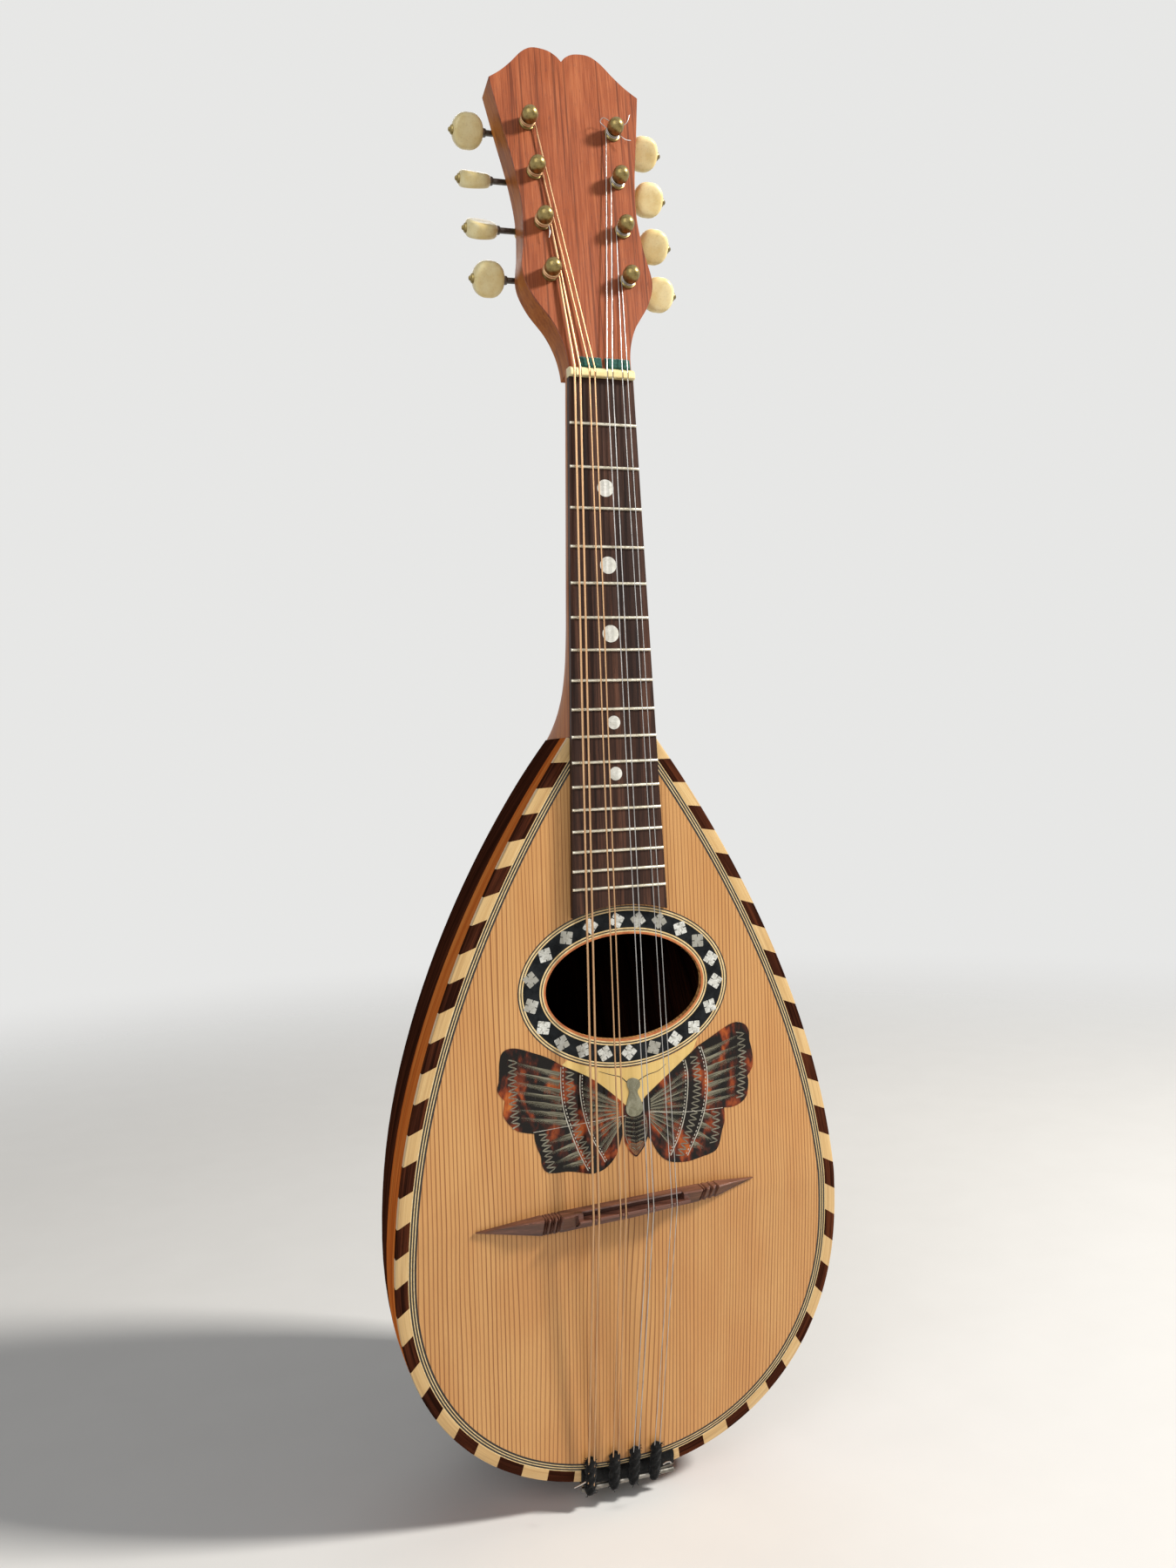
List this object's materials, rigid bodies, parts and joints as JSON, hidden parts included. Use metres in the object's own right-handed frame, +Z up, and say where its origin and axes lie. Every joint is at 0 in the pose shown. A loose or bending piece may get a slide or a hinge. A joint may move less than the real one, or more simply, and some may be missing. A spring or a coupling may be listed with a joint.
{
  "type": "bowl back mandolin",
  "caption": "Bowl back mandolin with paired strings, a staved bowl, a bent soundboard with an oval hole, and worm tuners whose buttons turn the string posts.",
  "frame": {"origin": "middle of the end button's outer face", "axes": "+Z up the neck from the tail, -Y out of the soundboard towards the player, +X to the treble side"},
  "size_m": [0.194, 0.1508, 0.6205],
  "materials": {
    "spruce": "oiled satin, fine straight grain",
    "rosewood": "satin varnish",
    "dark_rosewood": "worn satin",
    "headwood": "satin varnish",
    "maple": "satin",
    "pearl": "polished shell in mastic",
    "tortoiseshell": "polished",
    "bone": "polished",
    "brass": "aged",
    "bronze": "wound wire",
    "steel": "plain wire and sheet",
    "cloth": "black felt"
  },
  "bodies": {
    "instrument": {"string_g1": "bronze", "string_g2": "bronze", "string_d1": "bronze", "string_d2": "bronze", "string_a1": "steel", "string_a2": "steel", "string_e1": "steel", "string_e2": "steel", "bass_tuner_plate": "brass", "treble_tuner_plate": "brass", "treble_side_band": "rosewood", "bowl_rib_1": "rosewood", "bowl_rib_2": "rosewood", "bowl_rib_3": "rosewood", "bowl_rib_4": "rosewood", "bowl_rib_5": "rosewood", "bowl_rib_6": "rosewood", "bowl_rib_7": "rosewood", "bowl_rib_8": "rosewood", "bowl_rib_9": "rosewood", "bass_side_band": "rosewood", "soundboard": "spruce", "edge_binding": "maple", "rosette_ring": "pearl", "pickguard": "tortoiseshell", "bridge": "rosewood", "tailpiece": "steel", "neck": "headwood", "headstock": "headwood", "fingerboard": "dark_rosewood", "nut": "bone", "end_button": "dark_rosewood", "neck_block": "maple", "tail_block": "maple", "soundboard_brace": "spruce", "string_damper": "cloth"},
    "bass_post_1": {"bass_post_1": "brass"},
    "bass_worm_1": {"bass_worm_1": "brass", "bass_button_1": "bone"},
    "bass_post_2": {"bass_post_2": "brass"},
    "bass_worm_2": {"bass_worm_2": "brass", "bass_button_2": "bone"},
    "bass_post_3": {"bass_post_3": "brass"},
    "bass_worm_3": {"bass_worm_3": "brass", "bass_button_3": "bone"},
    "bass_post_4": {"bass_post_4": "brass"},
    "bass_worm_4": {"bass_worm_4": "brass", "bass_button_4": "bone"},
    "treble_post_1": {"treble_post_1": "brass"},
    "treble_worm_1": {"treble_worm_1": "brass", "treble_button_1": "bone"},
    "treble_post_2": {"treble_post_2": "brass"},
    "treble_worm_2": {"treble_worm_2": "brass", "treble_button_2": "bone"},
    "treble_post_3": {"treble_post_3": "brass"},
    "treble_worm_3": {"treble_worm_3": "brass", "treble_button_3": "bone"},
    "treble_post_4": {"treble_post_4": "brass"},
    "treble_worm_4": {"treble_worm_4": "brass", "treble_button_4": "bone"}
  },
  "joints": [
    {"name": "bass_worm_spin_1", "type": "hinge", "parent": "instrument", "child": "bass_worm_1", "pos_m": [-0.01713, -0.01419, 0.51658], "axis": [-0.9996, -0.0072, -0.0288], "continuous": true},
    {"name": "bass_post_spin_1", "type": "hinge", "parent": "instrument", "child": "bass_post_1", "pos_m": [-0.0169, -0.03214, 0.51319], "axis": [0, -0.9703, 0.2419], "continuous": true},
    {"name": "bass_worm_spin_2", "type": "hinge", "parent": "instrument", "child": "bass_worm_2", "pos_m": [-0.01783, -0.00843, 0.53967], "axis": [-0.9996, -0.0072, -0.0288], "continuous": true},
    {"name": "bass_post_spin_2", "type": "hinge", "parent": "instrument", "child": "bass_post_2", "pos_m": [-0.01761, -0.02638, 0.53628], "axis": [0, -0.9703, 0.2419], "continuous": true},
    {"name": "bass_worm_spin_3", "type": "hinge", "parent": "instrument", "child": "bass_worm_3", "pos_m": [-0.01854, -0.00267, 0.56276], "axis": [-0.9996, -0.0072, -0.0288], "continuous": true},
    {"name": "bass_post_spin_3", "type": "hinge", "parent": "instrument", "child": "bass_post_3", "pos_m": [-0.01831, -0.02062, 0.55937], "axis": [0, -0.9703, 0.2419], "continuous": true},
    {"name": "bass_worm_spin_4", "type": "hinge", "parent": "instrument", "child": "bass_worm_4", "pos_m": [-0.01925, 0.00309, 0.58586], "axis": [-0.9996, -0.0072, -0.0288], "continuous": true},
    {"name": "bass_post_spin_4", "type": "hinge", "parent": "instrument", "child": "bass_post_4", "pos_m": [-0.01902, -0.01487, 0.58247], "axis": [0, -0.9703, 0.2419], "continuous": true},
    {"name": "treble_worm_spin_1", "type": "hinge", "parent": "instrument", "child": "treble_worm_1", "pos_m": [0.01713, -0.01419, 0.51658], "axis": [0.9996, -0.0072, -0.0288], "continuous": true},
    {"name": "treble_post_spin_1", "type": "hinge", "parent": "instrument", "child": "treble_post_1", "pos_m": [0.0169, -0.03214, 0.51319], "axis": [0, -0.9703, 0.2419], "continuous": true},
    {"name": "treble_worm_spin_2", "type": "hinge", "parent": "instrument", "child": "treble_worm_2", "pos_m": [0.01783, -0.00843, 0.53967], "axis": [0.9996, -0.0072, -0.0288], "continuous": true},
    {"name": "treble_post_spin_2", "type": "hinge", "parent": "instrument", "child": "treble_post_2", "pos_m": [0.01761, -0.02638, 0.53628], "axis": [0, -0.9703, 0.2419], "continuous": true},
    {"name": "treble_worm_spin_3", "type": "hinge", "parent": "instrument", "child": "treble_worm_3", "pos_m": [0.01854, -0.00267, 0.56276], "axis": [0.9996, -0.0072, -0.0288], "continuous": true},
    {"name": "treble_post_spin_3", "type": "hinge", "parent": "instrument", "child": "treble_post_3", "pos_m": [0.01831, -0.02062, 0.55937], "axis": [0, -0.9703, 0.2419], "continuous": true},
    {"name": "treble_worm_spin_4", "type": "hinge", "parent": "instrument", "child": "treble_worm_4", "pos_m": [0.01925, 0.00309, 0.58586], "axis": [0.9996, -0.0072, -0.0288], "continuous": true},
    {"name": "treble_post_spin_4", "type": "hinge", "parent": "instrument", "child": "treble_post_4", "pos_m": [0.01902, -0.01487, 0.58247], "axis": [0, -0.9703, 0.2419], "continuous": true}
  ],
  "couplings": [
    {"joint": "bass_post_spin_1", "follows": "bass_worm_spin_1", "ratio": -0.071429},
    {"joint": "bass_post_spin_2", "follows": "bass_worm_spin_2", "ratio": -0.071429},
    {"joint": "bass_post_spin_3", "follows": "bass_worm_spin_3", "ratio": -0.071429},
    {"joint": "bass_post_spin_4", "follows": "bass_worm_spin_4", "ratio": -0.071429},
    {"joint": "treble_post_spin_1", "follows": "treble_worm_spin_1", "ratio": 0.071429},
    {"joint": "treble_post_spin_2", "follows": "treble_worm_spin_2", "ratio": 0.071429},
    {"joint": "treble_post_spin_3", "follows": "treble_worm_spin_3", "ratio": 0.071429},
    {"joint": "treble_post_spin_4", "follows": "treble_worm_spin_4", "ratio": 0.071429}
  ]
}
